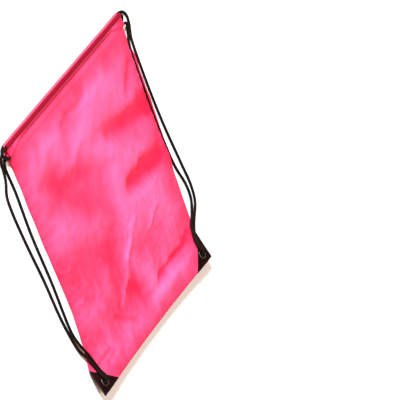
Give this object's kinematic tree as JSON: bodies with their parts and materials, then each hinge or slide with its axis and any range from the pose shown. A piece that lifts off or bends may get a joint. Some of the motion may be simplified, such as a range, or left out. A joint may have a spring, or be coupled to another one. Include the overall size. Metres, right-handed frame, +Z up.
{
  "type": "drawstring bag",
  "caption": "Flat drawstring cloth bag with a cord channel along each side of its mouth, cord shoulder straps and an eyelet in each patched bottom corner.",
  "frame": {"origin": "the surface the bag lies on, under the middle of the bag's width and height", "axes": "+X to the bag's own right as it lies face up, seen from above with the mouth away from the viewer; +Y from the bottom edge to the mouth; +Z up, out of the front panel"},
  "size_m": [0.4027, 0.42, 0.0185],
  "materials": {
    "cloth_pink": "plain weave polyester with a soft sheen",
    "channel_cloth": "the same polyester, doubled over and in its own shade",
    "seam_cloth": "folded raw edge of the same polyester",
    "patch_black": "fine-grained imitation leather, satin",
    "eyelet_metal": "dark plated, semi-gloss",
    "thread_pink": "sewing thread",
    "thread_black": "sewing thread",
    "cord_black": "round braided polyester cord"
  },
  "bodies": {
    "bag_back": {"back_panel": "cloth_pink", "back_hem": "channel_cloth", "front_border": "cloth_pink", "front_hem_left_end": "channel_cloth", "front_hem_right_end": "channel_cloth", "left_seam_allowance": "seam_cloth", "right_seam_allowance": "seam_cloth", "bottom_seam_allowance": "seam_cloth", "front_left_patch": "patch_black", "front_right_patch": "patch_black", "back_left_patch": "patch_black", "back_right_patch": "patch_black", "left_eyelet": "eyelet_metal", "right_eyelet": "eyelet_metal", "left_washer": "eyelet_metal", "right_washer": "eyelet_metal", "back_hem_thread": "thread_pink", "left_patch_thread": "thread_black", "right_patch_thread": "thread_black", "left_bartack": "thread_pink", "right_bartack": "thread_pink", "left_cord_strap": "cord_black", "left_cord_return": "cord_black", "right_cord_strap": "cord_black", "right_cord_return": "cord_black", "left_knot": "cord_black", "right_knot": "cord_black"},
    "bag_front": {"front_panel": "cloth_pink", "front_hem": "channel_cloth", "front_hem_thread": "thread_pink", "left_cord_front_run": "cord_black", "right_cord_front_run": "cord_black"}
  },
  "joints": [
    {"name": "mouth_open", "type": "hinge", "parent": "bag_back", "child": "bag_front", "pos_m": [0, -0.1342, 0.0079], "axis": [1, 0, 0], "range_deg": [0, 8]}
  ]
}
